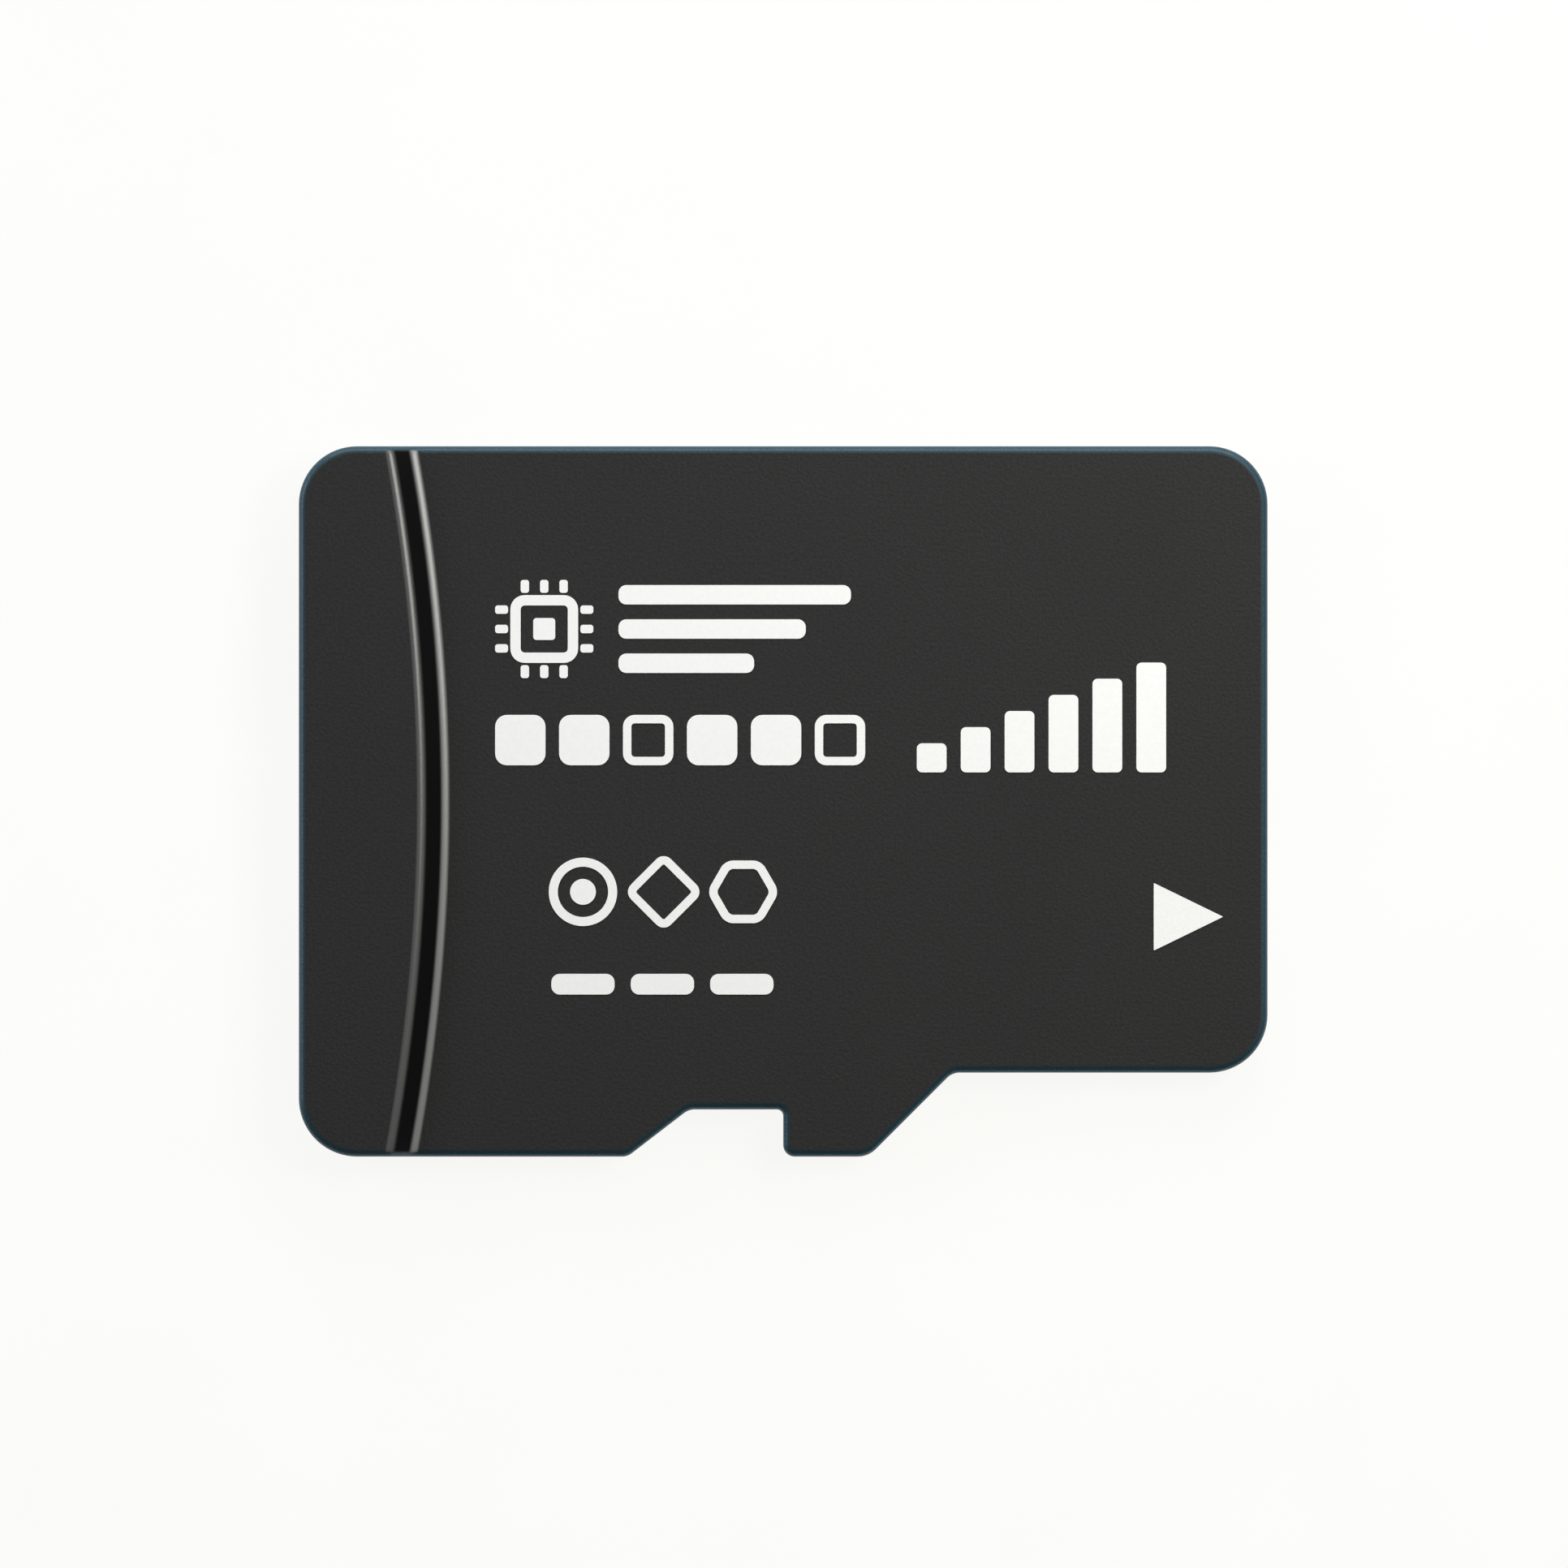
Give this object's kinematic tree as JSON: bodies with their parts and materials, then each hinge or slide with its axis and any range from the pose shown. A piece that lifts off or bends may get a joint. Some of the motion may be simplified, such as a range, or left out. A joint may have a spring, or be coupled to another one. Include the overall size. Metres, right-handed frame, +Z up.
{
  "type": "memory card",
  "caption": "Small flat removable memory card: matte dark grey moulded body with an arched thumb ridge, a latch notch in one side and gold contacts underneath.",
  "frame": {"origin": "middle of the card's outline, on the underside", "axes": "+X along the card towards the end that enters the socket first, +Y towards the straight long side, +Z up through the label face"},
  "size_m": [0.015, 0.011, 0.001],
  "materials": {
    "moulding_compound": "black epoxy moulding compound, fine matte grain",
    "board_laminate": "glass-epoxy laminate under black solder mask",
    "gold_plating": "hard gold over nickel on copper, satin",
    "silicon": "sawn and ground silicon",
    "capacitor_ceramic": "fired ceramic block with tinned ends",
    "resistor_ceramic": "glazed alumina chip with tinned ends",
    "bond_gold": "drawn gold wire",
    "printed_ink": "white pad-printed ink on the label face"
  },
  "bodies": {
    "root": {"moulded_body": "moulding_compound", "substrate_board": "board_laminate", "contact_pad_1": "gold_plating", "contact_pad_2": "gold_plating", "contact_pad_3": "gold_plating", "contact_pad_4": "gold_plating", "contact_pad_5": "gold_plating", "contact_pad_6": "gold_plating", "contact_pad_7": "gold_plating", "contact_pad_8": "gold_plating", "controller_die": "silicon", "flash_die_lower": "silicon", "flash_die_upper": "silicon", "capacitor_1": "capacitor_ceramic", "capacitor_2": "capacitor_ceramic", "capacitor_3": "capacitor_ceramic", "capacitor_4": "capacitor_ceramic", "resistor_1": "resistor_ceramic", "resistor_2": "resistor_ceramic", "flash_upper_wires": "bond_gold", "flash_lower_wires": "bond_gold", "controller_front_wires": "bond_gold", "controller_rear_wires": "bond_gold"}
  },
  "joints": []
}
